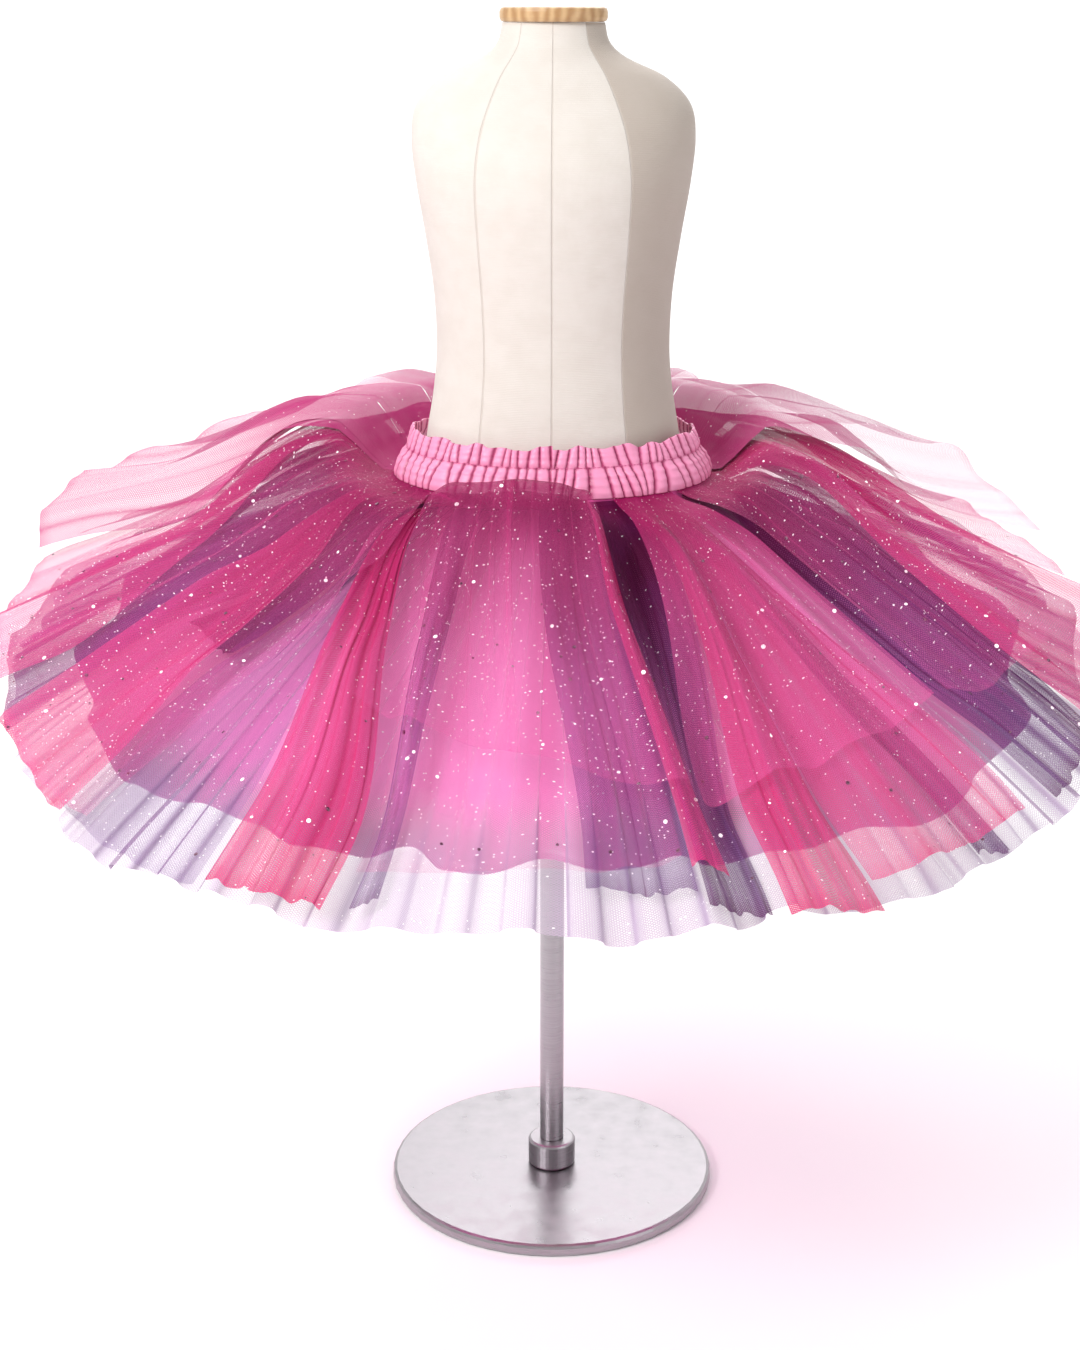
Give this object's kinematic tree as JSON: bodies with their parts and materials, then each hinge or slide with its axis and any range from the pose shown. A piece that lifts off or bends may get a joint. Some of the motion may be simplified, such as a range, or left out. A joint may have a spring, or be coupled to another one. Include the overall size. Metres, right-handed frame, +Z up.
{
  "type": "ballet tutu on a limbless child's dress form with a round-footed stand",
  "caption": "Gathered pink and purple tulle tutu with a satin lining and ruched waistband, worn on a limbless child's dress form on a round-footed stand.",
  "frame": {"origin": "centre of the foot's underside, on the floor", "axes": "+Z up the pole, the skirt's front faces -Y, +X to the right as seen from the front"},
  "size_m": [0.833, 0.7999, 0.9163],
  "materials": {
    "brushed_steel": "brushed",
    "cream_linen": "matt weave",
    "pale_wood": "satin varnish",
    "pink_satin": "soft gloss",
    "lining_satin": "gloss",
    "pale_tulle": "sheer net",
    "purple_tulle": "sheer net with glitter",
    "pink_tulle": "sheer net with glitter",
    "sheer_pink_tulle": "sheer net with glitter"
  },
  "bodies": {
    "root": {"stand_foot": "brushed_steel", "pole_socket": "brushed_steel", "stand_pole": "brushed_steel", "dress_form": "cream_linen", "neck_cap": "pale_wood", "waistband": "pink_satin", "satin_lining": "lining_satin", "long_tulle": "pale_tulle", "purple_panel_1": "purple_tulle", "purple_panel_2": "purple_tulle", "purple_panel_3": "purple_tulle", "purple_panel_4": "purple_tulle", "purple_panel_5": "purple_tulle", "purple_panel_6": "purple_tulle", "purple_panel_7": "purple_tulle", "purple_panel_8": "purple_tulle", "purple_panel_9": "purple_tulle", "purple_panel_10": "purple_tulle", "purple_panel_11": "purple_tulle", "pink_panel_1": "pink_tulle", "pink_panel_2": "pink_tulle", "pink_panel_3": "pink_tulle", "pink_panel_4": "pink_tulle", "pink_panel_5": "pink_tulle", "pink_panel_6": "pink_tulle", "pink_panel_7": "pink_tulle", "pink_panel_8": "pink_tulle", "pink_panel_9": "pink_tulle", "pink_panel_10": "pink_tulle", "pink_panel_11": "pink_tulle", "top_sheer_1": "sheer_pink_tulle", "top_sheer_2": "sheer_pink_tulle", "top_sheer_3": "sheer_pink_tulle", "top_sheer_4": "sheer_pink_tulle", "back_veil_1": "sheer_pink_tulle", "back_veil_2": "sheer_pink_tulle", "back_veil_3": "sheer_pink_tulle", "back_veil_4": "sheer_pink_tulle"}
  },
  "joints": []
}
